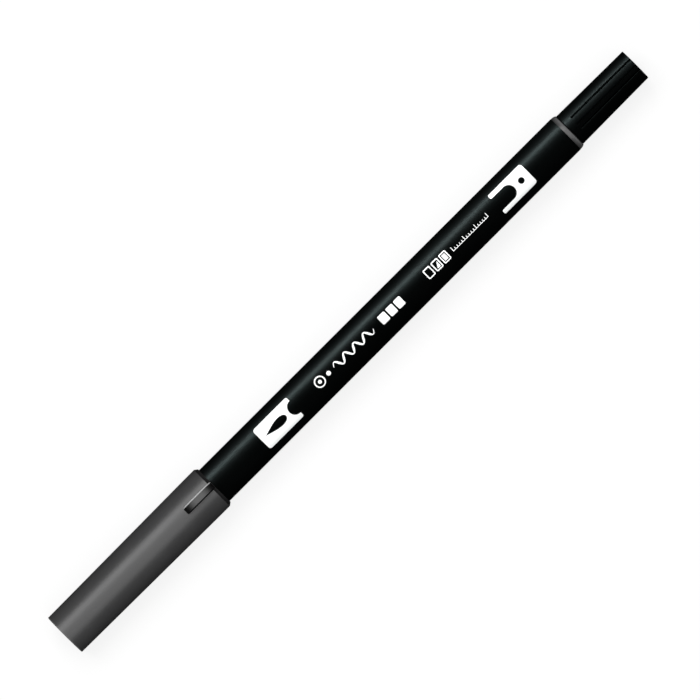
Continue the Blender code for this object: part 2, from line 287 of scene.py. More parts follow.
def moulded(name, colour, roughness, worn_and_highlit, variation=0.07, tint=(1.0, 1.0, 1.0)):
    """Injection-moulded plastic: cloudy tone, fine grain, lengthwise draw lines, rubbed edges,
    painted highlights and painted shade.
    """
    n = Nodes(name)
    clouds = n.noise(170, 3.0)
    grain = n.noise(5200, 4.0)
    draw = n.noise(1.0, 2.0, n.stretched((90, 5200, 5200)))
    tone = n.calc("ADD", n.calc("MULTIPLY", clouds, 0.55), n.calc("MULTIPLY", grain, 0.45))
    base = n.mix(
        n.ramp(tone, 0.0, 1.0, 0.35, 0.65),
        scaled(colour, 1 - variation),
        scaled(colour, 1 + variation),
    )
    scuffs = n.ramp(n.noise(900, 5.0, roughness=0.7), 0.75, 1.0, 0.50, 0.66)
    # Rubbed edges take the light worn colour, and through the same mask so do the painted
    # highlights
    rubbed_and_highlit = n.mix(n.calc("MULTIPLY", n.painted("wear_and_highlight"), scuffs), base, worn_and_highlit)
    # Painted shade: the colour darkens where the mesh carries shade
    n.colour(n.mix(n.painted("shade"), rubbed_and_highlit, scaled(colour, SHADE_TONE)))
    gloss = n.calc("ADD", n.calc("MULTIPLY", draw, 0.5), n.calc("MULTIPLY", clouds, 0.5))
    n.rough(n.ramp(gloss, roughness - SATIN_SPREAD, roughness + SATIN_SPREAD, 0.35, 0.65))
    lines = n.bump(draw, 0.0013 * MM, 0.6)
    n.bump(grain, 0.0020 * MM, 0.8, lines)
    n.set(Specular_Tint=(*tint, 1.0))
    return n.material


def printed_ink(name, colour):
    """Screen-printed ink: nearly even, with a faint mesh of the screen and a few thin spots."""
    n = Nodes(name)
    thin = n.ramp(n.noise(2600, 4.0), 0.0, 1.0, 0.60, 0.78)
    n.colour(n.mix(thin, colour, scaled(colour, 0.86)))
    n.rough(n.ramp(n.noise(3000, 2.0), 0.42, 0.55))
    n.bump(n.noise(9000, 3.0), 0.002 * MM, 0.6)
    return n.material


def translucent(name, colour, roughness, depth):
    """Natural unpigmented plastic that lets a little light into its skin."""
    n = Nodes(name)
    clouds = n.noise(320, 3.0)
    n.colour(n.mix(clouds, scaled(colour, 0.93), colour))
    n.rough(n.ramp(n.noise(1400, 3.0), roughness - 0.06, roughness + 0.06))
    n.bump(n.noise(1.0, 2.0, n.stretched((150, 4200, 4200))), 0.0015 * MM, 0.7)
    n.set(Subsurface_Weight=0.25, Subsurface_Scale=depth * MM)
    return n.material


def fibre(name, dark, light, relief):
    """Bonded fibre: fine strands that run along the pen, ink gathered between them."""
    n = Nodes(name)
    strands = n.noise(1.0, 5.0, n.stretched((420, 15000, 15000)), 0.6)
    bundles = n.noise(1.0, 3.0, n.stretched((160, 3600, 3600)))
    cloud = n.noise(700, 2.0)
    tone = n.calc("ADD", n.calc("MULTIPLY", strands, 0.5), n.calc("MULTIPLY", bundles, 0.3))
    tone = n.calc("ADD", tone, n.calc("MULTIPLY", cloud, 0.2))
    n.colour(n.mix(n.ramp(tone, 0.0, 1.0, 0.36, 0.64), dark, light))
    n.rough(n.ramp(strands, 0.72, 0.95))
    n.bump(tone, relief * MM)
    n.set(Sheen_Weight=0.15, Sheen_Roughness=0.5)
    return n.material


GREY = (0.040, 0.040, 0.0405)
# The light colour of rubbed grey edges, also used for the painted highlights on the fin's edge and
# the ring
WORN_AND_HIGHLIGHT_GREY = (0.50, 0.50, 0.505)
BLACK = (0.0010, 0.0011, 0.0011)
WORN_BLACK = (0.010, 0.012, 0.012)
# Its worn colour, how much its tone varies, and the tint of its gloss
BLACK_LOOK = (WORN_BLACK, 0.18, (0.78, 1.0, 1.0))
MATERIALS = {
    "grey": moulded("grey_cap_plastic", GREY, 0.38, WORN_AND_HIGHLIGHT_GREY),
    "barrel": moulded("black_barrel_plastic", BLACK, 0.38, *BLACK_LOOK),
    "black": moulded("black_cap_plastic", BLACK, 0.39, *BLACK_LOOK),
    "section": moulded("black_section_plastic", BLACK, 0.34, *BLACK_LOOK),
    "ink": printed_ink("white_print_ink", (0.90, 0.915, 0.91)),
    "natural": translucent("natural_moulded_plastic", (0.78, 0.79, 0.77), 0.42, 0.6),
    "film": translucent("clear_wrap_film", (0.84, 0.86, 0.86), 0.25, 0.3),
    "felt": fibre("inked_fibre_bundle", (0.018, 0.019, 0.022), (0.088, 0.090, 0.096), 0.012),
    "wadding": fibre("reservoir_wadding", (0.05, 0.052, 0.058), (0.17, 0.172, 0.18), 0.04),
}


# Mesh helpers


def arc(before, corner, after, radius, count=5):
    """The points that round a corner of an outline."""
    corner, before, after = Vector(corner), Vector(before), Vector(after)
    back, on = (before - corner).normalized(), (after - corner).normalized()
    half = back.angle(on) / 2
    centre = corner + (back + on).normalized() * radius / math.sin(half)
    start = corner + back * radius / math.tan(half) - centre
    stop = corner + on * radius / math.tan(half) - centre
    whole = start.angle(stop)
    points = []
    for i in range(count + 1):
        share = i / count
        part = (
            start * math.sin((1 - share) * whole) + stop * math.sin(share * whole)
        ) / math.sin(whole)
        points.append(tuple(centre + part))
    return points


def rounded(corners):
    """Turns (station, radius, rounding, wear, shade) corners into (station, radius, wear, shade).

    Wear, which also carries painted highlights, and painted shade may be left out.
    """
    points = []
    last = len(corners) - 1
    closed = corners[0][1] > 0 and corners[-1][1] > 0
    for i, (station, radius, rounding, *paint) in enumerate(corners):
        wear_and_highlight, shade = (*paint, 0.0, 0.0)[:2]
        if rounding <= 0 or (not closed and i in (0, last)):
            points.append((station, radius, wear_and_highlight, shade))
            continue
        before = corners[i - 1]
        after = corners[(i + 1) % len(corners)]
        for x, r in arc(before[:2], (station, radius), after[:2], rounding):
            points.append((x, r, wear_and_highlight if paint else EDGE_WEAR, shade))
    return points


def new_object(name, mesh, material):
    mesh.materials.clear()
    mesh.materials.append(MATERIALS[material])
    obj = bpy.data.objects.new(name, mesh)
    bpy.context.scene.collection.objects.link(obj)
    return obj


def smooth_shading(obj):
    """Smooth shading with crisp corners."""
    obj.data.shade_smooth()
    obj.data.set_sharp_from_angle(angle=SHARP_ANGLE)


def finish_mesh(obj):
    """Smooth shading where flat faces stay flat beside rounded edges."""
    smooth_shading(obj)
    weights = obj.modifiers.new("face_weights", "WEIGHTED_NORMAL")
    weights.keep_sharp = True
    weights.weight = 90


def even_turns():
    return [2 * math.pi * i / STEPS for i in range(STEPS)]


def turned(name, corners, material, turns=None, shape=None):
    """A closed piece turned about the pen's axis.

    shape(station, radius, turn) may change a point's radius. An outline that starts and ends on
    the axis is closed there, and any other outline is closed as a tube.
    """
    points = rounded(corners)
    turns = turns or even_turns()
    mesh_build = bmesh.new()
    worn_and_highlit = mesh_build.verts.layers.float.new("wear_and_highlight")
    shaded = mesh_build.verts.layers.float.new("shade")
    rings = []
    for station, radius, wear_and_highlight, shade in points:
        if radius <= 0:
            rings.append([mesh_build.verts.new(on_pen(station, 0.0, 0.0))])
            continue
        ring = []
        for turn in turns:
            r = shape(station, radius, turn) if shape else radius
            vert = mesh_build.verts.new(on_pen(station, r, turn))
            vert[worn_and_highlit] = wear_and_highlight
            vert[shaded] = shade
            ring.append(vert)
        rings.append(ring)
    pairs = list(zip(rings, rings[1:]))
    if points[0][1] > 0 and points[-1][1] > 0:
        pairs.append((rings[-1], rings[0]))
    for one, two in pairs:
        count = max(len(one), len(two))
        for i in range(count):
            j = (i + 1) % count
            face = (one[i % len(one)], one[j % len(one)], two[j % len(two)], two[i % len(two)])
            face = list(dict.fromkeys(face))
            if len(face) > 2:
                mesh_build.faces.new(face)
    bmesh.ops.recalc_face_normals(mesh_build, faces=mesh_build.faces)
    mesh = bpy.data.meshes.new(name)
    mesh_build.to_mesh(mesh)
    mesh_build.free()
    return new_object(name, mesh, material)


def applied(obj):
    """Bakes an object's modifiers into its mesh."""
    depsgraph = bpy.context.evaluated_depsgraph_get()
    mesh = bpy.data.meshes.new_from_object(obj.evaluated_get(depsgraph))
    obj.modifiers.clear()
    obj.data = mesh


def repaint(mesh, source):
    """Copies wear, painted highlights and painted shade onto the points that a mesh shares with
    the piece joined to it.
    """
    tree = KDTree(len(source.vertices))
    for i, vert in enumerate(source.vertices):
        tree.insert(vert.co, i)
    tree.balance()
    for vert in mesh.vertices:
        _, i, distance = tree.find(vert.co)
        if distance < 0.001 * MM:
            for name in ("wear_and_highlight", "shade"):
                value = source.attributes[name].data[i].value
                mesh.attributes[name].data[vert.index].value = value


def place(obj, body, slot, *nodes):
    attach(obj, body)
    if nodes:
        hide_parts(*nodes)


# Pieces


def barrel_tube():
    """The long tapered tube, with a low bead under the long cap's mouth."""
    bead = BARREL_START + 2.6
    step = FINE_SECTION_BACK - 0.2
    corners = [
        (BARREL_STOP, barrel_radius(BARREL_STOP), 0.04),
        (0.0, barrel_radius(0.0), 0.0),
        (bead + 0.5, barrel_radius(bead + 0.5), 0.15),
        (bead + 0.15, barrel_radius(bead) + 0.055, 0.2),
        (bead - 0.15, barrel_radius(bead) + 0.055, 0.2),
        (bead - 0.5, barrel_radius(bead - 0.5), 0.15),
        (BARREL_START + 0.25, barrel_radius(BARREL_START + 0.25), 0.1),
        (BARREL_START, BARREL_RADIUS - 0.25, 0.08),
        (BARREL_START, BARREL_BORE, 0.0),
        (step, BARREL_BORE, 0.0),
        (step, BARREL_FINE_BORE, 0.0),
        (BARREL_STOP, BARREL_FINE_BORE, 0.0),
    ]
    obj = turned("barrel", corners, "barrel")
    finish_mesh(obj)
    place(obj, "barrel", "black_plastic", "barrel_tube")


def color_ring():
    """The quarter-round ring between barrel and fine cap."""
    start, stop = BARREL_STOP + 0.01, FINE_RIM - 0.04
    crown = RING_RADIUS - FINE_CAP_RADIUS + 0.01
    steps = 14
    corners = [(stop, BARREL_FINE_BORE, 0.0)]
    for i in range(steps + 1):
        angle = i * math.pi / 2 / steps
        along = 1 - math.cos(angle)
        # A painted highlight lightens the quarter-round towards the fine cap, and painted shade
        # darkens its last edge beside the fine cap
        corners.append((
            stop - (stop - start - 0.05) * along,
            RING_RADIUS - crown * (1 - math.sin(angle)),
            0.0,
            0.22 * smooth(1.0 - along),
            smooth((0.24 - along) / 0.12),
        ))
    corners.append((start, RING_RADIUS, 0.02, 0.0, 0.0))
    corners.append((start, BARREL_FINE_BORE, 0.0))
    obj = turned("tone_ring", corners, "grey")
    finish_mesh(obj)
    place(obj, "barrel", "grey_plastic", "color_ring")


def fin_solid():
    """The anti-roll fin: an arch seen from the side, a flat crown with sloping edges across.

    Its floor lies inside the cap's wall.
    """
    count = 56
    most_inset = 0.16
    middle = BRUSH_RIM - 0.05 - FIN_LENGTH / 2
    solid = bmesh.new()
    worn_and_highlit = solid.verts.layers.float.new("wear_and_highlight")
    shaded = solid.verts.layers.float.new("shade")
    columns = []
    for across, depth, wear_and_highlight, shade in FIN_PROFILE:
        column = []
        for i in range(count + 1):
            angle = i * math.pi / count
            along = math.copysign(abs(math.cos(angle)) ** (2 / FIN_ROUNDNESS), math.cos(angle))
            up = math.sin(angle) ** (2 / FIN_ROUNDNESS)
            x = middle + along * (FIN_LENGTH / 2 - min(depth, most_inset))
            z = AXIS_HEIGHT + FIN_ROOT + (FIN_TOP - FIN_ROOT - depth) * up
            vert = solid.verts.new(Vector((x, across, z)) * MM)
            vert[worn_and_highlit] = wear_and_highlight
            vert[shaded] = shade
            # Painted shade darkens the crown towards the fin's ends
            if not wear_and_highlight and depth < FIN_WALL:
                end_shade = smooth((abs(along) - FIN_SHADE_START) / FIN_SHADE_LENGTH)
                vert[shaded] = max(shade, end_shade)
            column.append(vert)
        columns.append(column)
    for one, two in zip(columns, columns[1:]):
        for i in range(count):
            solid.faces.new((one[i], one[i + 1], two[i + 1], two[i]))
    solid.faces.new(columns[0])
    solid.faces.new(reversed(columns[-1]))
    floor_edge = [column[0] for column in columns]
    floor_edge += [column[-1] for column in reversed(columns)]
    solid.faces.new(floor_edge)
    bmesh.ops.recalc_face_normals(solid, faces=solid.faces)
    mesh = bpy.data.meshes.new("fin")
    solid.to_mesh(mesh)
    solid.free()
    return new_object("fin", mesh, "grey")


def brush_cap():
    """The long grey cap: tapered shell, chamfered rim, fin on top, gate mark in its end."""
    gate = 1.25
    corners = [
        (BRUSH_CAP_END + 1.0, 0.0, 0.0),
        (BRUSH_CAP_END + 1.0, CAP_BORE, 0.2),
        (BARREL_START - 1.4, CAP_BORE, 0.06),
        (BARREL_START - 1.4, CAP_MOUTH, 0.0),
        # Painted shade on the rim's mouth and chamfer
        (BRUSH_RIM, CAP_MOUTH, 0.03, 0.0, 0.6),
        (BRUSH_RIM, 4.9, 0.03, 0.0, 0.6),
        (BRUSH_RIM - 0.68, CAP_RADIUS - 0.02, 0.0, 0.0, 0.9),
        (BRUSH_RIM - 0.70, CAP_RADIUS - 0.002, 0.0, 0.0, 0.0),
        (BRUSH_RIM - 0.74, CAP_RADIUS, 0.0, 0.0, 0.0),
        (BRUSH_CAP_END + 40.75, CAP_RADIUS, 0.0),
        (BRUSH_CAP_END + 0.3, CAP_END_RADIUS + 0.002, 0.0),
        (BRUSH_CAP_END, CAP_END_RADIUS, 0.12),
        (BRUSH_CAP_END, gate, 0.04),
        (BRUSH_CAP_END + 0.12, gate - 0.1, 0.04),
        (BRUSH_CAP_END + 0.12, 0.5, 0.04),
        (BRUSH_CAP_END + 0.04, 0.42, 0.03),
        (BRUSH_CAP_END + 0.04, 0.0, 0.0),
    ]
    obj = turned("brush_cap", corners, "grey")
    tool = fin_solid()
    union = obj.modifiers.new("fin", "BOOLEAN")
    union.operation = "UNION"
    union.solver = "EXACT"
    union.object = tool
    applied(obj)
    repaint(obj.data, tool.data)
    bpy.data.objects.remove(tool)
    finish_mesh(obj)
    place(obj, "brush_cap", "grey_plastic", "brush_cap_shell")


def brush_cap_liner():
    """The cup inside the long cap that keeps the brush nib wet."""
    wall = LINER_RADIUS - LINER_BORE
    corners = [
        (LINER_END + wall, 0.0, 0.0),
        (LINER_END + wall, LINER_BORE, 0.3),
        (LINER_MOUTH, LINER_BORE, 0.12),
        (LINER_MOUTH, LINER_RADIUS, 0.12),
        (LINER_END, LINER_RADIUS, 0.2),
        (LINER_END, 0.0, 0.0),
    ]
    obj = turned("cap_liner", corners, "natural")
    finish_mesh(obj)
    place(obj, "brush_cap", "natural_plastic", "brush_cap_liner")


def brush_section():
    """The holder in the brush end: flange, neck with a sealing bead, cone and rounded lip."""
    flange_back = BARREL_START - 0.03
    flange_front = BARREL_START - 1.25
    flange = BARREL_RADIUS - 0.25
    neck_front = BARREL_START - 10.0
    bead = flange_front - 4.2
    lip_bore = NIB_RADIUS + 0.15
    corners = [
        (SECTION_BACK, 3.3, 0.0),
        (SECTION_BACK - 0.6, 3.6, 0.0),
        (flange_back, 3.6, 0.0),
        (flange_back, flange, 0.06),
        (flange_front, flange, 0.12),
        (flange_front, NECK_RADIUS, 0.15),
        (bead + 0.45, NECK_RADIUS, 0.1),
        (bead + 0.15, NECK_RADIUS + 0.06, 0.2),
        (bead - 0.15, NECK_RADIUS + 0.06, 0.2),
        (bead - 0.45, NECK_RADIUS, 0.1),
        (neck_front, NECK_RADIUS, 0.15),
        (neck_front - 0.3, NECK_RADIUS - 0.2, 0.15),
        (SECTION_FRONT + 0.3, 2.85, 0.25),
        (SECTION_FRONT, 2.65, 0.1),
        (SECTION_FRONT, lip_bore, 0.08),
        (SECTION_FRONT + 2.8, lip_bore, 0.0),
        (SECTION_FRONT + 2.8, 2.85, 0.0),
        (SECTION_BACK, 2.85, 0.0),
    ]
    obj = turned("brush_grip_section", corners, "section")
    finish_mesh(obj)
    place(obj, "barrel", "black_plastic", "brush_section")


def brush_nib():
    """The fibre brush: shallow flutes between its strands, which close up towards the point."""
    shoulder = SECTION_FRONT + 15.2
    length = SECTION_FRONT - NIB_TIP
    steps = 30
    corners = [
        (NIB_TAIL, 0.0, 0.0),
        (NIB_TAIL, 1.4, 0.1),
        (shoulder, 1.4, 0.0),
        (shoulder, NIB_RADIUS, 0.1),
    ]
    for i in range(steps):
        share = i / steps
        radius = NIB_RADIUS * (1 - share**2.4) ** 0.8
        corners.append((SECTION_FRONT - share * length, radius, 0.0))
    corners.append((NIB_TIP, 0.0, 0.0))

    def flutes(station, radius, turn):
        share = clamp((SECTION_FRONT + 1.0 - station) / length)
        deep = NIB_FLUTE_DEPTH * (radius / NIB_RADIUS) * smooth(share * 4)
        wave = 0.5 + 0.5 * math.cos(NIB_FLUTES * turn + 0.6 * math.sin(3 * turn))
        wave += 0.4 * math.sin(NIB_BUNDLES * turn + 2.0 * share)
        return radius - deep * clamp(wave)

    obj = turned("brush_tip", corners, "felt", shape=flutes)
    finish_mesh(obj)
    place(obj, "barrel", "inked_fibre", "brush_nib")


def fine_section():
    """The holder in the fine end: the flange that traps the ring, neck with a bead, cone."""
    flange_back = FINE_RIM - 0.02
    flange_front = FINE_RIM + 0.65
    neck_front = FINE_RIM + 6.75
    plug = BARREL_FINE_BORE - 0.1
    bead = neck_front - 1.1
    corners = [
        (FINE_SECTION_FRONT, 1.6, 0.08),
        (FINE_SECTION_FRONT - 0.3, 1.85, 0.2),
        (neck_front, 2.9, 0.12),
        (neck_front - 0.3, 3.1, 0.12),
        (bead + 0.4, 3.1, 0.08),
        (bead + 0.12, 3.15, 0.15),
        (bead - 0.12, 3.15, 0.15),
        (bead - 0.4, 3.1, 0.08),
        (flange_front, 3.1, 0.15),
        (flange_front, FINE_CAP_MOUTH - 0.1, 0.1),
        (flange_back, FINE_CAP_MOUTH - 0.1, 0.0),
        (flange_back, plug, 0.0),
        (FINE_SECTION_BACK + 0.6, plug, 0.0),
        (FINE_SECTION_BACK, plug - 0.3, 0.0),
        (FINE_SECTION_BACK, SLEEVE_RADIUS + 0.1, 0.0),
        (FINE_SECTION_FRONT, SLEEVE_RADIUS + 0.1, 0.05),
    ]
    obj = turned("fine_grip_section", corners, "section")
    finish_mesh(obj)
    place(obj, "barrel", "black_plastic", "fine_section")


def fine_nib_sleeve():
    """The slim tube round the fine nib."""
    cone = SLEEVE_FRONT - 1.8
    corners = [
        (SLEEVE_FRONT, 0.68, 0.03),
        (cone, SLEEVE_RADIUS, 0.4),
        (SLEEVE_BACK, SLEEVE_RADIUS, 0.1),
        (SLEEVE_BACK, FINE_NIB_RADIUS + 0.1, 0.0),
        (SLEEVE_FRONT - 0.6, FINE_NIB_RADIUS + 0.1, 0.0),
        (SLEEVE_FRONT - 0.6, 0.53, 0.0),
        (SLEEVE_FRONT, 0.53, 0.02),
    ]
    obj = turned("fine_tip_sleeve", corners, "natural")
    finish_mesh(obj)
    place(obj, "barrel", "natural_plastic", "fine_nib_sleeve")


def fine_nib():
    """The fine fibre rod with a domed tip."""
    point = 0.45
    neck = SLEEVE_FRONT - 0.75
    corners = [(FINE_NIB_TIP, 0.0, 0.0)]
    for i in range(1, 13):
        rise = i * math.pi / 2 / 12
        station = FINE_NIB_TIP - point * (1 - math.cos(rise))
        corners.append((station, point * math.sin(rise), 0.0))
    corners += [
        (neck, point, 0.0),
        (neck - 0.3, FINE_NIB_RADIUS, 0.1),
        (FINE_NIB_TAIL, FINE_NIB_RADIUS, 0.1),
        (FINE_NIB_TAIL, 0.0, 0.0),
    ]

    def strands(station, radius, turn):
        deep = FINE_NIB_STRAND_DEPTH * (radius / FINE_NIB_RADIUS)
        return radius - deep * abs(math.sin(FINE_NIB_STRANDS * turn))

    obj = turned("fine_tip", corners, "felt", shape=strands)
    finish_mesh(obj)
    place(obj, "barrel", "inked_fibre", "fine_nib")


def fine_cap():
    """The short black cap, with three groups of three grip grooves that run out at its end."""
    mouth_end = FINE_RIM + 4.75
    whole = 2 * math.pi
    apart = whole / GROOVE_GROUPS
    centres = [turn + group * apart for group in range(GROOVE_GROUPS) for turn in GROOVE_TURNS]
    lip, low, crisp = GROOVE_HALF, GROOVE_BOTTOM, 0.015
    offsets = (-lip - crisp, -lip, (low - lip) / 2, low, (low + lip) / 2, lip, lip + crisp)
    turns = even_turns()
    for centre in centres:
        turns = [
            turn
            for turn in turns
            if abs(math.remainder(turn - centre, whole)) * FINE_CAP_RADIUS > lip + 2 * crisp
        ]
        turns += [(centre + offset / FINE_CAP_RADIUS) % whole for offset in offsets]
    turns.sort()

    def skin(station):
        share = clamp((station - FINE_RIM) / (FINE_CAP_END - FINE_RIM))
        return FINE_CAP_RADIUS + share * (FINE_CAP_END_RADIUS - FINE_CAP_RADIUS)

    def grooves(station, radius, turn):
        across = min((math.remainder(turn - centre, whole) for centre in centres), key=abs)
        across = across * FINE_CAP_RADIUS - low
        wall = lip - low if across > 0 else lip + low
        deep = clamp(1 - abs(across) / wall) * smooth((station - GROOVE_START) / GROOVE_RUN_IN)
        return min(radius, skin(station) - GROOVE_DEPTH * deep)

    corners = [
        (FINE_CAP_END - 0.03, 0.0, 0.0),
        (FINE_CAP_END - 0.03, 0.45, 0.03),
        (FINE_CAP_END - 0.1, 0.5, 0.03),
        (FINE_CAP_END - 0.1, 0.9, 0.03),
        (FINE_CAP_END, 1.0, 0.03),
        (FINE_CAP_END, 3.4, 0.0),
        (FINE_CAP_END, FINE_CAP_END_RADIUS, 0.06),
        (FINE_CAP_END - 0.4, skin(FINE_CAP_END - 0.4), 0.0),
    ]
    run_in = [GROOVE_RUN_IN * i / 5 for i in reversed(range(6))]
    for step in (0.6, *run_in, -0.2):
        corners.append((GROOVE_START + step, skin(GROOVE_START + step), 0.0))
    corners += [
        (FINE_RIM, FINE_CAP_RADIUS, 0.03, 0.0, 0.0),
        (FINE_RIM, FINE_CAP_MOUTH, 0.08),
        (mouth_end, FINE_CAP_MOUTH, 0.0),
        (mouth_end + 0.3, FINE_CAP_BORE, 0.0),
        (FINE_CAP_END - 1.0, FINE_CAP_BORE, 0.15),
        (FINE_CAP_END - 1.0, 0.0, 0.0),
    ]
    obj = turned("fine_cap", corners, "black", turns, grooves)
    finish_mesh(obj)
    place(obj, "fine_cap", "black_plastic", "fine_cap_shell")


# Printed marks. Each loop is a list of (station, distance round the barrel) points.


def arc_about(x, y, radius, start, stop, count=24):
    """The points of an arc, from one angle to another, in degrees."""
    angles = [math.radians(start + (stop - start) * i / count) for i in range(count + 1)]
    return [(x + radius * math.cos(angle), y + radius * math.sin(angle)) for angle in angles]


def circle(x, y, radius):
    return arc_about(x, y, radius, 0, 360, 40)[:-1]


def rounded_polygon(points, radii):
    loop = []
    for i, (x, y) in enumerate(points):
        radius = radii[i]
        if radius <= 0:
            loop.append((x, y))
        else:
            loop += arc(points[i - 1], (x, y), points[(i + 1) % len(points)], radius, 6)
    return loop


def box_loop(x0, x1, y0, y1, radius):
    return rounded_polygon([(x0, y0), (x1, y0), (x1, y1), (x0, y1)], [radius] * 4)


def printed(name, loops):
    """Thin ink on the barrel, closed all round. A loop inside another one is a hole."""
    flat = bpy.data.curves.new(name, "CURVE")
    flat.dimensions = "2D"
    flat.fill_mode = "BOTH"
    flat.extrude = PRINT_THICKNESS / 2
    for loop in loops:
        spline = flat.splines.new("POLY")
        spline.points.add(len(loop) - 1)
        for point, (x, y) in zip(spline.points, loop):
            point.co = (x, y, 0.0, 1.0)
        spline.use_cyclic_u = True
    drawn = bpy.data.objects.new(name + "_flat", flat)
    bpy.context.scene.collection.objects.link(drawn)
    depsgraph = bpy.context.evaluated_depsgraph_get()
    mesh = bpy.data.meshes.new_from_object(drawn.evaluated_get(depsgraph))
    bpy.data.objects.remove(drawn)
    ink = bmesh.new()
    ink.from_mesh(mesh)
    bmesh.ops.remove_doubles(ink, verts=ink.verts, dist=PRINT_WELD)
    reach_round = max(abs(y) for loop in loops for _, y in loop)
    strips = int(reach_round / PRINT_STRIP) + 1
    off_corners = 0.013
    for i in range(-strips, strips + 1):
        bmesh.ops.bisect_plane(
            ink,
            geom=list(ink.verts) + list(ink.edges) + list(ink.faces),
            dist=4 * PRINT_WELD,
            plane_co=(0.0, i * PRINT_STRIP + off_corners, 0.0),
            plane_no=(0.0, 1.0, 0.0),
        )
    bmesh.ops.remove_doubles(ink, verts=ink.verts, dist=PRINT_WELD)
    for vert in ink.verts:
        station, round_by, height = vert.co
        skin = barrel_radius(station)
        vert.co = on_pen(station, skin + height, PRINT_TURN + round_by / skin)
    bmesh.ops.recalc_face_normals(ink, faces=ink.faces)
    ink.to_mesh(mesh)
    ink.free()
    obj = new_object(name, mesh, "ink")
    smooth_shading(obj)
    place(obj, "barrel", "white_print")


def brush_symbol():
    """A rounded panel with a round bite and a drop cut out of it, for the brush end."""
    x0, x1, half = -26.9, -16.8, 2.93
    bite, corner, lip = 1.75, 0.7, 0.5
    outer = arc((x0, half), (x0, -half), (x1, -half), corner, 8)
    outer += arc((x0, -half), (x1, -half), (x1, -bite), lip, 6)
    outer += arc_about(x1, 0.0, bite, 270, 90)
    outer += arc((x1, bite), (x1, half), (x0, half), lip, 6)
    outer += arc((x1, half), (x0, half), (x0, -half), corner, 8)
    tip, base, wide = -25.7, -19.5, 1.4
    drop = []
    count = 56
    for i in range(count):
        angle = 2 * math.pi * i / count
        x = tip + (base - tip) * (1 - math.cos(angle)) / 2
        drop.append((x, wide * math.sin(angle) * abs(math.sin(angle / 2)) ** 1.5))
    printed("print_brush_symbol", [outer, drop])


def fine_symbol():
    """A rounded panel with a round-ended slot and a dot cut out of it, for the fine end."""
    x0, x1, half = 43.7, 53.4, 2.87
    slot, slot_end, corner, lip = 1.75, 47.3, 0.7, 0.35
    dot, dot_radius = 51.1, 0.72
    outer = arc((x0, -slot), (x0, -half), (x1, -half), lip, 6)
    outer += arc((x0, -half), (x1, -half), (x1, half), corner, 8)
    outer += arc((x1, -half), (x1, half), (x0, half), corner, 8)
    outer += arc((x1, half), (x0, half), (x0, slot), lip, 6)
    outer += arc((x0, half), (x0, slot), (slot_end, slot), lip, 6)
    outer += arc_about(slot_end, 0.0, slot, 90, -90)
    outer += arc((slot_end, -slot), (x0, -slot), (x0, -half), lip, 6)
    printed("print_fine_symbol", [outer, circle(dot, 0.0, dot_radius)])


def ring_mark():
    """A ring with a dot in it and a dot beside it."""
    ring, dot = -9.35, -6.75
    loops = [circle(ring, 0.0, radius) for radius in (1.3, 1.02, 0.42)]
    printed("print_ring_mark", loops + [circle(dot, 0.0, 0.5)])


def stroke_sample():
    """One wavy brush stroke that swells and thins."""
    start, stop, count = -5.1, 6.6, 150
    waves, swing = 4.0, 0.86
    thin, swell, blunt = 0.13, 0.10, 0.25
    upper, lower = [], []
    for i in range(count + 1):
        share = i / count
        x = start + (stop - start) * share
        phase = share * 2 * math.pi * waves
        y = swing * math.sin(phase)
        slope = swing * math.cos(phase) * 2 * math.pi * waves / (stop - start)
        thick = thin + swell * math.cos(phase) ** 2
        thick *= min(1.0, blunt + share * 8, blunt + (1 - share) * 8)
        normal = Vector((-slope, 1.0)).normalized() * thick
        upper.append((x + normal.x, y + normal.y))
        lower.append((x - normal.x, y - normal.y))
    printed("print_stroke_sample", [upper + lower[::-1]])


def width_blocks():
    """Three solid bars, one after the other."""
    half, corner = 1.1, 0.28
    bars = ((8.8, 2.0), (11.25, 1.85), (13.55, 1.85))
    loops = [box_loop(x, x + wide, -half, half, corner) for x, wide in bars]
    printed("print_width_blocks", loops)


def tone_marks():
    """Three thin outlined boxes: empty, half filled, filled."""
    start, side, gap, line = 22.5, 1.9, 0.45, 0.26
    half, inset, sharp = 1.2, 0.5, 0.05
    inner = half - line
    filled = half - inset
    loops = []
    for i in range(3):
        x0 = start + i * (side + gap)
        x1 = x0 + side
        loops.append(box_loop(x0, x1, -half, half, 0.3))
        loops.append(box_loop(x0 + line, x1 - line, -inner, inner, 0.12))
        low, high = (x0 + inset, -filled), (x1 - inset, filled)
        if i == 1:
            loops.append(rounded_polygon([low, (high[0], low[1]), high], [sharp] * 3))
        if i == 2:
            loops.append(box_loop(low[0], high[0], low[1], high[1], sharp))
    printed("print_tone_marks", loops)


def scale_ticks():
    """A short ruler: fine ticks that stand on a base line."""
    start, pitch, ticks = 30.3, 0.69, 16
    low, base, line = -0.5, -0.38, 0.14
    long, short = 1.05, 0.55
    comb = [(start, low), (start + (ticks - 1) * pitch + line, low)]
    for i in reversed(range(ticks)):
        x = start + i * pitch
        tall = long if i % 5 == 0 else short
        comb += [(x + line, low + tall), (x, low + tall)]
        if i:
            comb += [(x, base), (x - pitch + line, base)]
    printed("print_scale_ticks", [comb])


def refinish(node, material):
    """A carried-over CAD node keeps its shape and gets a finished material."""
    frame["nodes"][node].data.materials.clear()
    frame["nodes"][node].data.materials.append(MATERIALS[material])


def pen():
    barrel_tube()
    color_ring()
    brush_cap()
    brush_cap_liner()
    brush_section()
    brush_nib()
    fine_section()
    fine_nib_sleeve()
    fine_nib()
    fine_cap()
    brush_symbol()
    fine_symbol()
    ring_mark()
    stroke_sample()
    width_blocks()
    tone_marks()
    scale_ticks()
    refinish("brush_nib_holder", "natural")
    refinish("reservoir_core", "wadding")
    refinish("reservoir_film", "film")


# Stage, light and camera

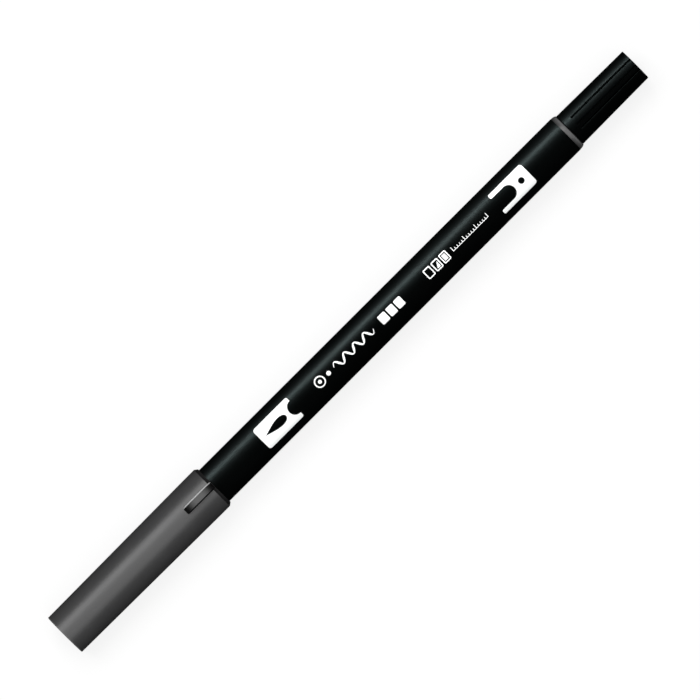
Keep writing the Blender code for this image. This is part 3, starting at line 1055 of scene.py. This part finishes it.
# The floor, and how bright the surround is: for diffuse light, in gloss, and to the camera
FLOOR_HALF = 20.0
FLOOR_TONE = 0.16
FLOOR_GLOW = 0.81
SURROUND = 0.25
GLOSS_SURROUND = 0.003
SEEN_SURROUND = 1.0

# The camera: its tilt from straight down, its lens and sensor, the width of the picture at the
# pen, and how far the picture's middle lies from the pen's, all but the tilt in millimetres
VIEW_TILT = math.radians(3.8)
LENS = 800.0
SENSOR = 36.0
FRAME_WIDTH = 148.82
PICTURE_OFFSET = (-0.036, -0.056)
SCENE = bpy.context.scene
CENTRE = Vector((0.0, 0.0, AXIS_HEIGHT)) * MM


def floor():
    mesh = bpy.data.meshes.new("floor")
    signs = [(-1, -1), (1, -1), (1, 1), (-1, 1)]
    corners = [(x * FLOOR_HALF, y * FLOOR_HALF, 0.0) for x, y in signs]
    mesh.from_pydata(corners, [], [(0, 1, 2, 3)])
    obj = bpy.data.objects.new("floor", mesh)
    SCENE.collection.objects.link(obj)
    material = bpy.data.materials.new("pale_floor")
    material.use_nodes = True
    shader = material.node_tree.nodes["Principled BSDF"]
    shader.inputs["Base Color"].default_value = (*[FLOOR_TONE] * 3, 1.0)
    shader.inputs["Roughness"].default_value = 1.0
    shader.inputs["Specular IOR Level"].default_value = 0.0
    shader.inputs["Emission Color"].default_value = (1.0, 1.0, 1.0, 1.0)
    shader.inputs["Emission Strength"].default_value = FLOOR_GLOW
    mesh.materials.append(material)
    obj.visible_diffuse = False
    obj.visible_glossy = False


def softbox(name, turn, distance, length, width, radiance, shift=0.0):
    """An area light parallel to the pen, seen from it at a turn in degrees. Lengths are in metres.

    The shift is along the pen.
    """
    light = bpy.data.lights.new(name, "AREA")
    light.shape = "RECTANGLE"
    light.size = length
    light.size_y = width
    light.energy = radiance * math.pi * length * width
    obj = bpy.data.objects.new(name, light)
    turn = math.radians(turn)
    away = Vector((0.0, math.sin(turn), math.cos(turn)))
    side = Vector((1.0, 0.0, 0.0))
    turned_to = Matrix((side, away.cross(side), away)).transposed().to_4x4()
    turned_to.translation = CENTRE + away * distance + side * shift
    obj.matrix_world = turned_to
    obj.visible_camera = False
    SCENE.collection.objects.link(obj)
    return obj


def world():
    """A dim even surround that the camera sees as white and gloss sees as nearly black."""
    made = bpy.data.worlds.new("studio")
    made.use_nodes = True
    tree = made.node_tree
    back = tree.nodes["Background"]
    back.inputs["Color"].default_value = (*[SURROUND] * 3, 1.0)
    white = tree.nodes.new("ShaderNodeBackground")
    white.inputs["Color"].default_value = (*[SEEN_SURROUND] * 3, 1.0)
    dark = tree.nodes.new("ShaderNodeBackground")
    dark.inputs["Color"].default_value = (*[GLOSS_SURROUND] * 3, 1.0)
    path = tree.nodes.new("ShaderNodeLightPath")
    glossy = tree.nodes.new("ShaderNodeMixShader")
    seen = tree.nodes.new("ShaderNodeMixShader")
    tree.links.new(path.outputs["Is Glossy Ray"], glossy.inputs[0])
    tree.links.new(back.outputs[0], glossy.inputs[1])
    tree.links.new(dark.outputs[0], glossy.inputs[2])
    tree.links.new(path.outputs["Is Camera Ray"], seen.inputs[0])
    tree.links.new(glossy.outputs[0], seen.inputs[1])
    tree.links.new(white.outputs[0], seen.inputs[2])
    tree.links.new(seen.outputs[0], tree.nodes["World Output"].inputs["Surface"])
    made.cycles.sampling_method = "NONE"
    SCENE.world = made


def camera():
    """Looks almost straight down, with the pen's fine end at the upper right."""
    data = bpy.data.cameras.new("camera")
    data.lens = LENS
    data.sensor_width = SENSOR
    obj = bpy.data.objects.new("camera", data)
    SCENE.collection.objects.link(obj)
    back = Vector((0.0, -math.sin(VIEW_TILT), math.cos(VIEW_TILT)))
    along = Vector((1.0, 0.0, 0.0))
    across = back.cross(along)
    right = (along - across).normalized()
    up = (along + across).normalized()
    distance = LENS / SENSOR * FRAME_WIDTH * MM
    matrix = Matrix((right, up, back)).transposed().to_4x4()
    aim = CENTRE + (right * PICTURE_OFFSET[0] + up * PICTURE_OFFSET[1]) * MM
    matrix.translation = aim + back * distance
    obj.matrix_world = matrix
    SCENE.camera = obj


pen()
camera()
floor()
world()
strip = softbox("strip", turn=48.2, distance=1.0, length=2.6, width=0.18, radiance=5.9)
overhead = softbox("overhead", turn=-12.8, distance=1.2, length=1.07, width=1.33, radiance=2.09)
side = softbox("side", turn=31.2, distance=1.1, length=0.98, width=0.59, radiance=5.13)
# These two light everything, and keep a sheen on the barrel in views from the side
for name, radiance, shift in (("wing_brush", 2.8, -1.5), ("wing_fine", 0.7, 1.5)):
    softbox(name, turn=-76, distance=1.3, length=1.2, width=0.34, radiance=radiance, shift=shift)

# The black mouldings show the narrow strip, and the grey ones and the floor the broad softboxes
BLACK_PIECES = {"barrel", "fine_cap", "brush_grip_section", "fine_grip_section"}
GREY_AND_FLOOR = {"brush_cap", "tone_ring", "floor"}


def light_all_but(light, left_out):
    """The light falls on every mesh but the ones left out."""
    lit = bpy.data.collections.new(light.name + "_lit")
    for obj in SCENE.objects:
        if obj.type == "MESH" and obj.name not in left_out:
            lit.objects.link(obj)
    light.light_linking.receiver_collection = lit


light_all_but(strip, GREY_AND_FLOOR)
light_all_but(overhead, BLACK_PIECES)
light_all_but(side, BLACK_PIECES)

SCENE.view_settings.view_transform = "Standard"
SCENE.view_settings.look = "None"
